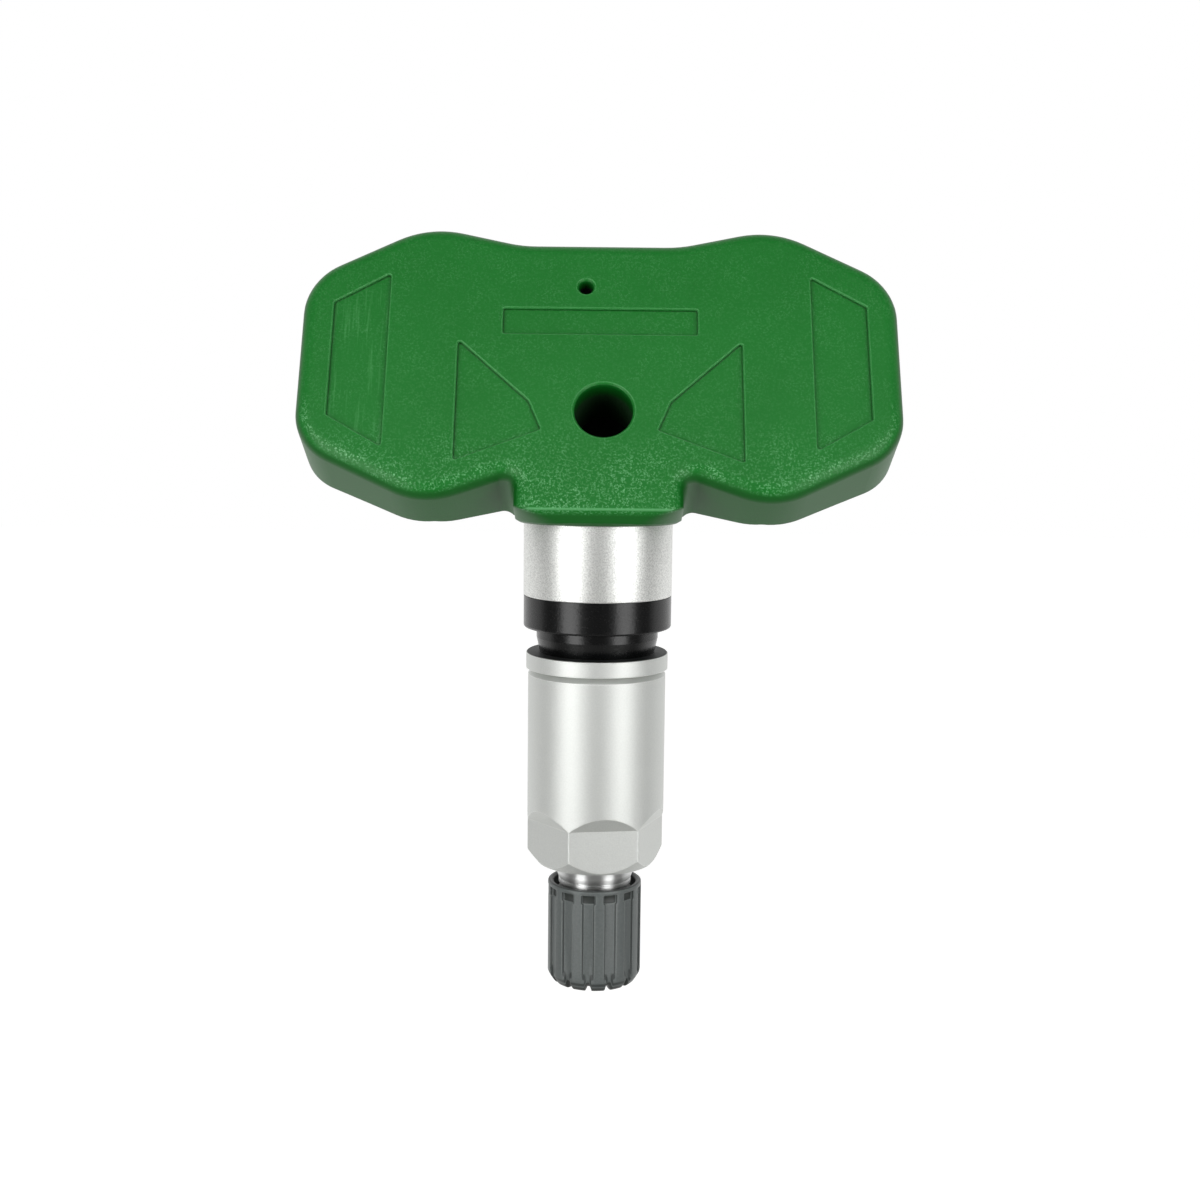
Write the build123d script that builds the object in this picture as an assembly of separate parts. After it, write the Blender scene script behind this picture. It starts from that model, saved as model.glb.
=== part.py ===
# Tyre pressure sensor on a metal clamp-in valve, as separate pieces in one frame, in millimetres.
# +Z runs up the valve stem towards the housing, -Y is the side with the air well, +X is its right.
# The origin is on the stem's axis, where the rubber grommet's flange sits on the rim.
import os
from math import cos, radians, sin, tan

from build123d import *

# Grommet, washer and nut: what clamps the valve in the rim's hole
stem_bend = 29.0
grommet_flange_r = 7.38
grommet_flange_length = 3.2
grommet_edge_radius = 0.25
grommet_sleeve_r = 6.08
grommet_sleeve_length = 2.5
grommet_sleeve_taper = 0.33
grommet_sleeve_straight = 1.0
shank_r = 4.1
washer_r = 7.1
washer_thickness = 1.62
washer_edge = 0.12
nut_r = 6.9
nut_length = 19.88
nut_top_chamfer = 0.62
nut_collar_r = 4.6
nut_collar_length = 1.35
nut_thread_length = 9.0
nut_counterbore_r = 4.35
hex_across_flats = 12.0
hex_length = 4.44
hex_runout_angle = 32.0
hex_turn = 8.0
hex_end_chamfer_height = 1.28
hex_end_chamfer_depth = 1.03

# Valve stem
collar_r = 7.4
collar_length = 7.47
collar_edge = 0.15
foot_r = 5.6
foot_length = 4.1
foot_groove_length = 1.3
foot_groove_depth = 0.8
foot_across_flats = 10.0
thread_r = 3.85
air_bore_r = 1.25
neck_cone_r = 3.68
neck_cone_length = 0.5
neck_groove_length = 0.14
neck_groove_depth = 0.14
neck_ring_length = 0.42
neck_ring_r = 3.62
neck_relief_length = 0.5
tip_chamfer = 0.4

# Valve core
core_thread_r = 2.6
core_thread_length = 4.6
core_seat_r = 2.3
core_seat_length = 0.9
core_cone_length = 1.0
core_chamber_r = 2.05
core_chamber_length = 8.6
core_recess = 0.6
core_plug_bore_r = 1.3
core_bridge_width = 1.7
core_bridge_height = 1.2
core_barrel_r = 1.75
core_barrel_bore_r = 1.3
core_barrel_length = 7.0
core_barrel_end_wall = 0.6
core_barrel_end_hole_r = 0.8
core_shoulder_r = 2.1
core_shoulder_length = 0.6
core_gasket_length = 1.2
core_pin_r = 0.5
core_pin_recess = 0.2
core_pin_flange_thickness = 0.4
core_pin_flange_offset = 0.8
core_pin_head_r = 0.8
core_pin_head_length = 0.4
core_seal_thickness = 0.5
core_cup_base = 0.6
core_cup_skirt = 0.3
core_cup_wall = 0.15
core_cup_gap = 0.2
spring_wire_r = 0.13
spring_turns = 5

# Valve cap
cap_r = 4.75
cap_length = 11.4
cap_gap = 1.2
cap_mouth_r = 4.15
cap_mouth_length = 2.0
cap_mouth_chamfer_length = 0.75
cap_mouth_land = 0.05
cap_end_wall = 1.0
cap_end_chamfer_depth = 0.85
cap_end_chamfer_length = 1.0
cap_grooves = 13
cap_groove_turn = -7.4
cap_groove_width = 1.13
cap_groove_depth = 0.25
cap_groove_start = 2.2
cap_end_notch = 0.45
cap_end_dish_r = 3.05
cap_end_dish_depth = 0.3
cap_pocket_width = 1.4
cap_pocket_height = 0.9
cap_pocket_depth = 0.38
cap_seal_thickness = 0.5
cap_seal_bore_r = 1.6

# Running clearances
thread_clearance = 0.06
washer_clearance = 0.05
pin_clearance = 0.06
flange_clearance = 0.08

# Housing, seen square to its face: x to the right, y up from the neck's end, z out of the face
neck_face_reach = 9.0
neck_bevel_height = 1.78
neck_end_reach = 7.9
neck_end_corner_radius = 5.4
neck_end_edge = 0.35
neck_front_edge_radius = 0.3
neck_half_width = 8.1
housing_half_width = 29.5
housing_front_edge_radius = 1.65
housing_thickness = 5.8
rim_drop_centre_r = 180.0
housing_wall = 1.6
housing_front_wall = 1.5
hump_straight_length = 7.0
hump_dome_length = 6.7
gusset_reach = 16.0
gusset_depth = 2.75
gusset_height = 5.3
gusset_end_width = 2.0
neck_corner = (4.08, 1.1)
lobe_corner = (16.85, 0.76, 7.6)
side_low_corner = (7.06, 5.7)
side_high_corner = (25.27, 6.3)
shoulder_corner = (17.38, 31.82, 9.5)
dip_corner = (7.9, 29.57, 12.0)

# Air well, pressure port and the shallow recesses in the face
well_r = 2.86
well_x = 0.4
well_y = 10.45
well_depth = 7.2
well_rim_edge = 0.2
port_r = 0.75
port_rim_r = 0.95
port_rim_depth = 0.22
port_x = -1.45
port_y = 24.2
recess_depth = 0.35
recess_edge = 0.1
recess_corner_radius = 0.2
tag_recess_width = 19.15
tag_recess_height = 2.85
tag_recess_y = 20.26
side_recess = [(20.85, 6.35), (26.3, 9.7), (26.3, 22.2), (20.85, 25.53)]
centre_recess = [(13.92, 4.98), (13.92, 18.1), (6.88, 11.4), (5.65, 8.35)]

# Electronics, in the housing's own directions
cavity_tongue_half_width = 9.3
cavity_tongue_height = 17.0
cavity_tongue_radius = 3.0
potting_recess = 0.4
board_thickness = 0.8
board_back_depth = 4.9
board_edge_clearance = 0.4
board_cell_gap = 1.1
cell_r = 8.0
cell_cap_r = 7.2
cell_height = 3.2
cell_cap_height = 0.5
cell_y = 16.0
tab_width = 3.0
tab_thickness = 0.2
tab_y = 20.0
tab_leg_inset = 0.4
tab_foot_length = 2.0
tab_overlap = 3.5
sensor_width = 6.5
sensor_height = 6.0
sensor_thickness = 1.9
sensor_y = 23.0
sensor_opening_r = 0.6
sensor_opening_depth = 0.8
seal_outer_r = 1.6
radio_width = 5.0
radio_height = 4.4
radio_thickness = 1.2
radio_x = 6.6
radio_y = 22.6
crystal_width = 3.2
crystal_height = 2.5
crystal_thickness = 0.9
crystal_x = 12.6
crystal_y = 25.2
switch_r = 1.1
switch_can_r = 1.0
switch_length = 5.0
switch_cap_length = 0.8
switch_x = 13.6
switch_y = 10.6
coil_antenna_gap = 3.6
coil_y = 15.6
coil_length = 8.0
coil_width = 2.6
coil_thickness = 2.2
coil_flange = 1.2
coil_waist_share = 0.45
capacitor_count = 5
capacitor_width = 0.8
capacitor_length = 1.6
capacitor_thickness = 0.7
capacitor_pitch = 1.9
capacitor_x = 12.6
capacitor_y = 21.2
antenna_wire_r = 0.35
antenna_rise = 1.6
antenna_bend_r = 1.2
antenna_foot_x = 16.5
antenna_wall_gap = 1.7
antenna_corner_cut = 4.7
antenna_high_y = 25.0
antenna_low_y = 6.8
antenna_corner_high_y = 21.0
antenna_corner_low_y = 10.2

# Heights along the stem that follow from the sizes above
flange_top_z = grommet_flange_length
neck_end_z = flange_top_z + collar_length
foot_top_z = neck_end_z + foot_length
washer_top_z = -grommet_sleeve_length
washer_bottom_z = washer_top_z - washer_thickness
nut_bottom_z = washer_bottom_z - nut_length
cap_top_z = nut_bottom_z - cap_gap
cap_bottom_z = cap_top_z - cap_length
cap_floor_z = cap_bottom_z + cap_end_wall
tip_z = cap_floor_z + cap_seal_thickness
nut_bore_r = thread_r + thread_clearance

# The housing's face plane, tilted back from the stem
bevel_top_z = neck_end_z + neck_bevel_height
bend = radians(stem_bend)
face_plane = Plane(
    origin=(0, -neck_face_reach, bevel_top_z),
    x_dir=(1, 0, 0),
    z_dir=(0, -cos(bend), sin(bend)),
)

# Places beside the housing's side walls that follow from the sizes above
cavity_half_width = housing_half_width - housing_wall
cell_x = -(cavity_tongue_half_width + cavity_half_width) / 2
board_left_x = cell_x + cell_r + board_cell_gap
tab_leg_x = board_left_x + tab_leg_inset
tab_foot_x = tab_leg_x + tab_foot_length
antenna_outer_x = cavity_half_width - antenna_wall_gap
antenna_corner_x = antenna_outer_x - antenna_corner_cut
coil_x = antenna_outer_x - coil_antenna_gap

# Depths behind the face that follow from the sizes above
board_front_w = -board_back_depth + board_thickness
cell_back_w = -board_back_depth
cell_front_w = cell_back_w + cell_height
past_everything = 40.0
plate_blank_thickness = 2 * housing_thickness
cut_overrun = 1.0
neck_blank_radius = 0.25


def turned(points):
    """Solid of revolution about the stem's axis from (radius, height) points."""
    return revolve(Plane.XZ * make_face(Polyline(*points, close=True)), Axis.Z)


def on_face(shape):
    """A shape drawn square to the housing's face, moved to its place on the stem."""
    return face_plane * shape


def slab(width, height, thickness, x, y, back_w):
    """Box square to the housing's face that stands on the depth back_w."""
    return Pos(x, y, back_w + thickness / 2) * Box(width, height, thickness)


def rounded_outline(corners):
    """Face bounded by straight lines and the tangent arc of each (x, y, radius) corner."""
    arcs = []
    for index, (x, y, radius) in enumerate(corners):
        here = Vector(x, y)
        before = (Vector(*corners[index - 1][:2]) - here).normalized()
        after = (Vector(*corners[(index + 1) % len(corners)][:2]) - here).normalized()
        half_angle = radians(before.get_angle(after)) / 2
        middle = (before + after).normalized() * (radius / sin(half_angle) - radius)
        reach = radius / tan(half_angle)
        arcs.append((here + before * reach, here + middle, here + after * reach))
    edges = []
    for index, (start, middle, end) in enumerate(arcs):
        edges.append(ThreePointArc(start, middle, end))
        edges.append(Line(end, arcs[(index + 1) % len(arcs)][0]))
    return make_face(edges)


def mirrored(corners):
    """The corners of one side, followed by their mirror images in reverse order."""
    return corners + [(-x, y, radius) for x, y, radius in reversed(corners)]


# Housing
def housing_outline():
    """Outline of the housing's face: neck, two lobes, straight sides, two shoulders and the dip."""
    neck_y, neck_radius = neck_corner
    low_y, low_radius = side_low_corner
    high_y, high_radius = side_high_corner
    return rounded_outline(mirrored([
        (neck_half_width, -housing_front_edge_radius - cut_overrun, neck_blank_radius),
        (neck_half_width, neck_y, neck_radius),
        lobe_corner,
        (housing_half_width, low_y, low_radius),
        (housing_half_width, high_y, high_radius),
        shoulder_corner,
        dip_corner,
    ]))


def rim_drop_centre(depth):
    """The round of the rim under the sensor, which its back follows."""
    size = rim_drop_centre_r
    return Pos(0, past_everything / 2, -depth - size) * Rot(90, 0, 0) * Cylinder(size, 2 * past_everything)


def neck_gussets():
    """The ramps by which the back of both lower walls rises to the thick neck."""
    inner = neck_half_width - cut_overrun
    edge_w = -housing_thickness - gusset_reach ** 2 / (2 * rim_drop_centre_r)
    profile = make_face(Polyline(
        (inner, -housing_front_edge_radius),
        (gusset_reach, -housing_front_edge_radius),
        (gusset_reach, edge_w),
        (inner, edge_w - gusset_depth),
        close=True,
    ))
    ramp = Pos(0, gusset_height, 0) * extrude(Plane.XZ * profile, gusset_height + cut_overrun)
    blank = extrude(housing_outline(), -plate_blank_thickness)
    return blank & (ramp + mirror(ramp, Plane.YZ))


def housing_plate():
    """The two wings as one plate with its rounded front edge and its hollow back."""
    plate = extrude(housing_outline(), -plate_blank_thickness)
    front = plate.faces().sort_by(Axis.Z)[-1]
    edges = [edge for edge in front.edges() if (edge @ 0.5).Y > 0]
    plate = fillet(edges, housing_front_edge_radius)
    plate = on_face(plate - rim_drop_centre(housing_thickness) + neck_gussets())
    for half_width, low_z in ((neck_half_width, bevel_top_z),
                              (neck_half_width + gusset_end_width, neck_end_z + neck_end_edge)):
        below = Pos(0, 0, low_z - past_everything / 2)
        plate -= below * Box(2 * half_width, past_everything, past_everything)
    return plate


def soften_neck_front(body):
    """Rounds the edge between the neck's face and the bevel under it."""
    edges = [
        edge for edge in body.edges()
        if abs((edge @ 0).Z - bevel_top_z) + abs((edge @ 1).Z - bevel_top_z) < cut_overrun / 10
        and (edge @ 0.5).Y < -neck_face_reach + cut_overrun / 10
    ]
    return fillet(edges, neck_front_edge_radius)


def neck_outline(front_y, corner_width, corner_drop):
    """Edges of the neck's section, from its flat front round both corners to the round back."""
    side = neck_half_width
    flat = side - corner_width
    corner_y = front_y + corner_drop
    return [
        Line((-flat, front_y), (flat, front_y)),
        EllipticalCenterArc((flat, corner_y), corner_width, corner_drop, -90, arc_size=90),
        Line((side, corner_y), (side, 0)),
        CenterArc((0, 0), side, 0, 180),
        Line((-side, 0), (-side, corner_y)),
        EllipticalCenterArc((-flat, corner_y), corner_width, corner_drop, 180, arc_size=90),
    ]


def neck_end():
    """The neck's end: a bevel that runs from its flat front to the rounder end on the collar."""
    edge_radius = housing_front_edge_radius
    top = neck_outline(-neck_face_reach, edge_radius, edge_radius / cos(bend))
    bottom = neck_outline(-neck_end_reach, neck_end_corner_radius, neck_end_corner_radius)
    end = Solid.make_loft([
        Pos(0, 0, neck_end_z) * Wire(bottom),
        Pos(0, 0, bevel_top_z) * Wire(top),
    ], ruled=True)
    low_face = end.faces().sort_by(Axis.Z)[0]
    return chamfer(low_face.edges(), neck_end_edge)


def hump():
    """The thick back of the neck, which holds the stem's foot and ends in a dome."""
    straight_z = neck_end_z + hump_straight_length
    profile = make_face([
        Line((0, bevel_top_z), (neck_half_width, bevel_top_z)),
        Line((neck_half_width, bevel_top_z), (neck_half_width, straight_z)),
        EllipticalCenterArc((0, straight_z), neck_half_width, hump_dome_length, 0, arc_size=90),
        Line((0, straight_z + hump_dome_length), (0, bevel_top_z)),
    ])
    back = revolve(Plane.XZ * profile, Axis.Z)
    height = straight_z - bevel_top_z
    front = Pos(0, -past_everything / 2, bevel_top_z + height / 2) * Box(
        2 * neck_half_width, past_everything, height)
    above = slab(2 * past_everything, 2 * past_everything, past_everything, 0, 0, -housing_front_edge_radius)
    return back + front - on_face(above)


def recess(corners):
    """Cutter for a shallow recess with a broken edge at its mouth."""
    mouth = rounded_outline([(x, y, recess_corner_radius) for x, y in corners])
    wide = offset(mouth, recess_edge, kind=Kind.ARC)
    return extrude(mouth, -recess_depth) + extrude(wide, -recess_edge, taper=45)


def face_recesses():
    """The tag recess, the two outer recesses and the two beside the air well."""
    half = tag_recess_width / 2
    low = tag_recess_y - tag_recess_height / 2
    high = tag_recess_y + tag_recess_height / 2
    shapes = [recess([(-half, low), (half, low), (half, high), (-half, high)])]
    for side in (side_recess, centre_recess):
        shapes.append(recess(side))
        shapes.append(mirror(recess(side), Plane.YZ))
    return shapes


def cavity_outline():
    """Inside line of the housing's walls, round the solid tongue that holds the stem."""
    inside = offset(housing_outline(), -housing_wall, kind=Kind.ARC)
    half = cavity_tongue_half_width
    tongue = rounded_outline(mirrored([
        (half, -past_everything / 2, cavity_tongue_radius),
        (half, cavity_tongue_height, cavity_tongue_radius),
    ]))
    return inside - tongue


def cavity():
    """Space behind the face that holds the electronics and the potting."""
    return Pos(0, 0, -housing_front_wall) * extrude(cavity_outline(), -past_everything)


def air_well():
    """Cutter for the round well where the stem's air comes out, with its broken rim."""
    points = [(0, 0), (well_r + well_rim_edge, 0), (well_r, -well_rim_edge), (well_r, -well_depth),
              (0, -well_depth)]
    return Pos(well_x, well_y, 0) * turned(points)


def pressure_port():
    """Cutter for the countersunk hole over the pressure sensor."""
    points = [(0, 0), (port_rim_r, 0), (port_r, -port_rim_depth), (port_r, -2 * housing_front_wall),
              (0, -2 * housing_front_wall)]
    return Pos(port_x, port_y, 0) * turned(points)


def stem_passage():
    """Cutter that leads the stem's air bore on into the well."""
    top_z = bevel_top_z + (well_y - neck_face_reach * sin(bend)) / cos(bend)
    return Pos(0, 0, (foot_top_z + top_z) / 2) * Cylinder(air_bore_r, top_z - foot_top_z)


def housing():
    body = soften_neck_front(housing_plate() + hump() + neck_end())
    for shape in face_recesses():
        body -= on_face(shape)
    body -= on_face(cavity())
    body -= on_face(air_well())
    body -= on_face(pressure_port())
    body -= stem_passage()
    return body - stem_foot()


# Potting and electronics, each drawn square to the face
def board_blank():
    """Outline of the circuit board: the cavity's shape, cut off beside the battery."""
    inside = offset(cavity_outline(), -board_edge_clearance, kind=Kind.ARC)
    beside = Pos(board_left_x - past_everything, 0) * Rectangle(2 * past_everything, 2 * past_everything)
    return inside - beside


def circuit_board():
    return Pos(0, 0, board_front_w) * extrude(board_blank(), -board_thickness)


def battery_cell():
    """Button cell: the wide can with the smaller lid that closes it at the front."""
    lid_w = cell_front_w - cell_cap_height
    can = turned([(0, cell_back_w), (cell_r, cell_back_w), (cell_r, lid_w), (cell_cap_r, lid_w),
                  (cell_cap_r, cell_front_w), (0, cell_front_w)])
    return Pos(cell_x, cell_y, 0) * can


def battery_tab_positive():
    """Flat strip from the back of the cell to the back of the board."""
    left = cell_x - tab_overlap
    return slab(tab_foot_x - left, tab_width, tab_thickness, (left + tab_foot_x) / 2, tab_y,
                cell_back_w - tab_thickness)


def battery_tab_negative():
    """Strip from the cell's lid, down past its side and out to a foot on the board."""
    left = cell_x - tab_overlap
    on_lid = slab(tab_leg_x - left, tab_width, tab_thickness, (left + tab_leg_x) / 2, tab_y, cell_front_w)
    leg_height = cell_front_w + tab_thickness - board_front_w
    leg = slab(tab_thickness, tab_width, leg_height, tab_leg_x - tab_thickness / 2, tab_y, board_front_w)
    foot = slab(tab_foot_x - tab_leg_x, tab_width, tab_thickness, (tab_foot_x + tab_leg_x) / 2, tab_y,
                board_front_w)
    return on_lid + leg + foot


def sensor_chip():
    """Pressure sensor package with the opening that faces the port."""
    package = slab(sensor_width, sensor_height, sensor_thickness, port_x, sensor_y, board_front_w)
    opening_w = board_front_w + sensor_thickness - sensor_opening_depth
    opening = Pos(port_x, port_y, opening_w + sensor_opening_depth / 2) * Cylinder(
        sensor_opening_r, sensor_opening_depth)
    return package - opening


def port_seal():
    """Soft ring between the sensor and the housing's front wall, round the port."""
    low = board_front_w + sensor_thickness
    height = -housing_front_wall - low
    ring = Cylinder(seal_outer_r, height) - Cylinder(port_r, height)
    return Pos(port_x, port_y, low + height / 2) * ring


def radio_chip():
    return slab(radio_width, radio_height, radio_thickness, radio_x, radio_y, board_front_w)


def crystal():
    return slab(crystal_width, crystal_height, crystal_thickness, crystal_x, crystal_y, board_front_w)


def motion_switch():
    """Rolling-ball switch: a small can with a wider end."""
    axis_w = board_front_w + switch_r
    can = Rot(90, 0, 0) * Cylinder(switch_can_r, switch_length)
    end = Pos(0, (switch_length - switch_cap_length) / 2, 0) * Rot(90, 0, 0) * Cylinder(
        switch_r, switch_cap_length)
    return Pos(switch_x, switch_y, axis_w) * (can + end)


def coil_core():
    """Ferrite core of the wake-up coil, with its two square ends and thinner waist."""
    ends = slab(coil_width, coil_length, coil_thickness, coil_x, coil_y, board_front_w)
    return ends - coil_window()


def coil_window():
    """The space round the core's waist that the wire fills."""
    length = coil_length - 2 * coil_flange
    around = slab(coil_width, length, coil_thickness, coil_x, coil_y, board_front_w)
    waist = coil_thickness * coil_waist_share
    low = board_front_w + (coil_thickness - waist) / 2
    return around - slab(coil_width * coil_waist_share, length, waist, coil_x, coil_y, low)


def coil_winding():
    """The wire as one wound block, a little below the core's ends."""
    length = coil_length - 2 * coil_flange
    inset = tab_thickness
    keep = slab(coil_width - inset, length, coil_thickness - inset, coil_x, coil_y, board_front_w + inset / 2)
    return coil_window() & keep


def chip_capacitors():
    """A row of small ceramic capacitors on the board."""
    chips = [
        slab(capacitor_width, capacitor_length, capacitor_thickness, capacitor_x + index * capacitor_pitch,
             capacitor_y, board_front_w)
        for index in range(capacitor_count)
    ]
    return Compound(chips)


def antenna():
    """Wire loop of the radio's antenna, standing on its two feet."""
    low = board_front_w
    high = board_front_w + antenna_rise
    path = FilletPolyline(
        (antenna_foot_x, antenna_high_y, low),
        (antenna_foot_x, antenna_high_y, high),
        (antenna_corner_x, antenna_high_y, high),
        (antenna_outer_x, antenna_corner_high_y, high),
        (antenna_outer_x, antenna_corner_low_y, high),
        (antenna_corner_x, antenna_low_y, high),
        (antenna_foot_x, antenna_low_y, high),
        (antenna_foot_x, antenna_low_y, low),
        radius=antenna_bend_r,
    )
    profile = Plane(origin=path @ 0, z_dir=path % 0) * Circle(antenna_wire_r)
    return sweep(profile, path)


def electronics():
    """Every piece that the potting surrounds, by name, square to the face."""
    return {
        "circuit_board": circuit_board(),
        "battery_cell": battery_cell(),
        "battery_tab_positive": battery_tab_positive(),
        "battery_tab_negative": battery_tab_negative(),
        "sensor_chip": sensor_chip(),
        "port_seal": port_seal(),
        "radio_chip": radio_chip(),
        "crystal": crystal(),
        "motion_switch": motion_switch(),
        "coil_core": coil_core(),
        "coil_winding": coil_winding(),
        "chip_capacitors": chip_capacitors(),
        "antenna": antenna(),
    }


def potting(pieces):
    """Cast resin that fills the cavity round the electronics, a little below the rim of the walls."""
    resin = cavity() - rim_drop_centre(housing_thickness - potting_recess)
    low = board_front_w + sensor_thickness - sensor_opening_depth
    height = -housing_front_wall - low
    resin -= Pos(port_x, port_y, low + height / 2) * Cylinder(port_r, height)
    for piece in pieces.values():
        resin -= piece
    return resin


# Valve stem, turned from one bar
def stem_foot():
    """The grooved and flatted foot that the housing is moulded round."""
    groove_low = neck_end_z + (foot_length - foot_groove_length) / 2
    groove_high = groove_low + foot_groove_length
    groove_r = foot_r - foot_groove_depth
    foot = turned([
        (0, neck_end_z),
        (foot_r, neck_end_z),
        (foot_r, groove_low),
        (groove_r, groove_low),
        (groove_r, groove_high),
        (foot_r, groove_high),
        (foot_r, foot_top_z),
        (0, foot_top_z),
    ])
    flats = Box(foot_across_flats, past_everything, foot_length)
    return foot & Pos(0, 0, neck_end_z + foot_length / 2) * flats


def core_bore_points():
    """Steps of the bore that takes the valve core, from the tip inwards."""
    thread_end = tip_z + core_thread_length
    seat_end = thread_end + core_seat_length
    cone_end = seat_end + core_cone_length
    chamber_end = cone_end + core_chamber_length
    return [
        (core_thread_r, tip_z),
        (core_thread_r, thread_end),
        (core_seat_r, thread_end),
        (core_seat_r, seat_end),
        (core_chamber_r, cone_end),
        (core_chamber_r, chamber_end),
        (air_bore_r, chamber_end + core_chamber_r - air_bore_r),
    ]


def neck_points():
    """Steps of the bright neck between the nut and the cap, downwards from the thread."""
    cone_low = cap_top_z - neck_cone_length
    groove_low = cone_low - neck_groove_length
    ring_low = groove_low - neck_ring_length
    relief_low = ring_low - neck_relief_length
    return [
        (thread_r, cap_top_z),
        (neck_cone_r, cone_low),
        (neck_cone_r - neck_groove_depth, cone_low),
        (neck_cone_r - neck_groove_depth, groove_low),
        (neck_cone_r, groove_low),
        (neck_ring_r, ring_low),
        (neck_ring_r, relief_low),
        (thread_r, relief_low - (thread_r - neck_ring_r)),
    ]


def valve_stem():
    """Collar, shank, thread and tip with the bore for the valve core."""
    body = turned([
        (air_bore_r, neck_end_z),
        (collar_r, neck_end_z),
        (collar_r, flange_top_z + collar_edge),
        (collar_r - collar_edge, flange_top_z),
        (shank_r, flange_top_z),
        (shank_r, washer_top_z),
        (thread_r, washer_top_z),
        *neck_points(),
        (thread_r, tip_z + tip_chamfer),
        (thread_r - tip_chamfer, tip_z),
        *core_bore_points(),
    ])
    bore = Pos(0, 0, neck_end_z + foot_length / 2) * Cylinder(air_bore_r, foot_length)
    return body + (stem_foot() - bore)


# What clamps the stem in the rim
def grommet():
    """Rubber flange and the sleeve that fills the rim's hole."""
    edge = grommet_edge_radius
    taper_z = -grommet_sleeve_straight
    sleeve_end_r = grommet_sleeve_r - grommet_sleeve_taper
    body = turned([
        (shank_r, flange_top_z),
        (grommet_flange_r, flange_top_z),
        (grommet_flange_r, 0),
        (grommet_sleeve_r, 0),
        (grommet_sleeve_r, taper_z),
        (sleeve_end_r, washer_top_z),
        (shank_r, washer_top_z),
    ])
    rims = [rim for rim in body.edges().filter_by(GeomType.CIRCLE) if rim.radius > grommet_sleeve_r + edge]
    low = [rim for rim in rims if rim.center().Z < edge]
    return fillet(low, edge)


def washer():
    bore_r = nut_collar_r + washer_clearance
    return turned([
        (bore_r, washer_bottom_z),
        (washer_r, washer_bottom_z),
        (washer_r, washer_top_z - washer_edge),
        (washer_r - washer_edge, washer_top_z),
        (bore_r, washer_top_z),
    ])


def hex_flat():
    """Cutter for one flat of the hexagon, with the slope where the mill ran out."""
    apothem = hex_across_flats / 2
    outside = nut_r + cut_overrun
    start_z = nut_bottom_z + hex_length
    slope_z = start_z + (outside - apothem) / tan(radians(hex_runout_angle))
    profile = make_face(Polyline(
        (apothem, nut_bottom_z - cut_overrun),
        (apothem, start_z),
        (outside, slope_z),
        (outside, nut_bottom_z - cut_overrun),
        close=True,
    ))
    return extrude(Plane.XZ * profile, nut_r, both=True)


def sleeve_nut():
    """Long round nut with a hexagon at its end and the thin collar that carries the washer."""
    collar_top = washer_bottom_z + nut_collar_length
    thread_end = collar_top - nut_thread_length
    end_r = nut_r - hex_end_chamfer_depth
    step = nut_counterbore_r - nut_bore_r
    nut = turned([
        (nut_bore_r, collar_top),
        (nut_collar_r, collar_top),
        (nut_collar_r, washer_bottom_z),
        (nut_r - nut_top_chamfer, washer_bottom_z),
        (nut_r, washer_bottom_z - nut_top_chamfer),
        (nut_r, nut_bottom_z + hex_end_chamfer_height),
        (end_r, nut_bottom_z),
        (nut_counterbore_r, nut_bottom_z),
        (nut_counterbore_r, thread_end - step),
        (nut_bore_r, thread_end),
    ])
    for index in range(6):
        nut -= Rot(0, 0, 60 * index + hex_turn - 90) * hex_flat()
    return nut


# Valve core
def core_body():
    """Threaded brass plug of the core, with the bridge that a core key turns and that guides the pin."""
    outer_z = tip_z + core_recess
    inner_z = tip_z + core_thread_length
    bridge_z = outer_z + core_bridge_height
    guide_r = core_pin_r + pin_clearance
    plug = turned([
        (guide_r, outer_z),
        (core_thread_r, outer_z),
        (core_thread_r, inner_z),
        (core_plug_bore_r, inner_z),
        (core_plug_bore_r, bridge_z),
        (guide_r, bridge_z),
    ])
    side = core_thread_r
    offset_x = core_bridge_width / 2 + side / 2
    for sign in (-1, 1):
        plug -= Pos(sign * offset_x, 0, outer_z + core_bridge_height / 2) * Box(side, 4 * side, core_bridge_height)
    return plug


def barrel_top_z():
    return tip_z + core_thread_length + core_barrel_length


def core_barrel():
    """Brass tube of the core, with the shoulder that presses the gasket into its seat."""
    low = tip_z + core_thread_length
    top = barrel_top_z()
    shoulder = low + core_shoulder_length
    return turned([
        (core_barrel_bore_r, low),
        (core_shoulder_r, low),
        (core_shoulder_r, shoulder),
        (core_barrel_r, shoulder),
        (core_barrel_r, top),
        (core_barrel_end_hole_r, top),
        (core_barrel_end_hole_r, top - core_barrel_end_wall),
        (core_barrel_bore_r, top - core_barrel_end_wall),
    ])


def core_gasket():
    """Gasket on the barrel that seals on the stem's cone."""
    low = tip_z + core_thread_length + core_shoulder_length
    seat_end = tip_z + core_thread_length + core_seat_length
    top = low + core_gasket_length
    narrowing = (core_seat_r - core_chamber_r) * (top - seat_end) / core_cone_length
    return turned([
        (core_barrel_r, low),
        (core_seat_r, low),
        (core_seat_r, seat_end),
        (core_seat_r - narrowing, top),
        (core_barrel_r, top),
    ])


def pin_flange_z():
    return tip_z + core_thread_length + core_pin_flange_offset


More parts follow.
